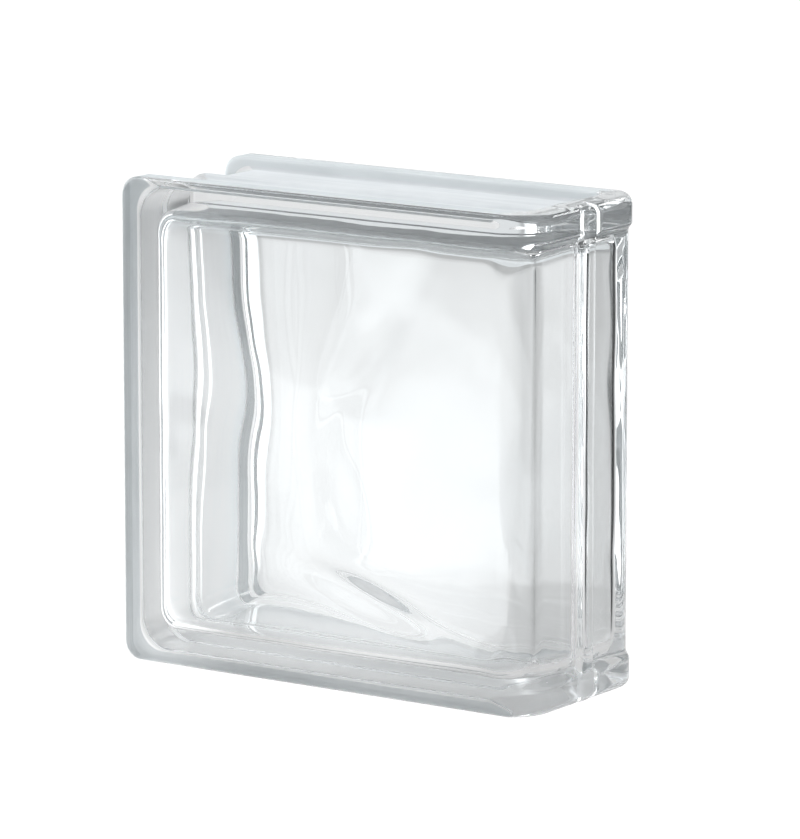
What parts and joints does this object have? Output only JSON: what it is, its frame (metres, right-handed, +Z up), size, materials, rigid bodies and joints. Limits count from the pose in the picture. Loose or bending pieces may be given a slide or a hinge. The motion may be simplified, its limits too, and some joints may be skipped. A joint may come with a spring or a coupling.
{
  "type": "glass block",
  "caption": "Square hollow glass block with wavy inner faces, mortar channels on three sides and a closed, rounded finished end.",
  "frame": {"origin": "centre of the block's outline at the level of the floor it stands on", "axes": "+Z up; +X towards the finished end; +Y through the block's depth, from the front face to the rear face"},
  "size_m": [0.19, 0.08, 0.19],
  "materials": {
    "glass": "clear pressed glass, smooth outside and wavy inside"
  },
  "bodies": {
    "root": {"glass_block": "glass"}
  },
  "joints": []
}
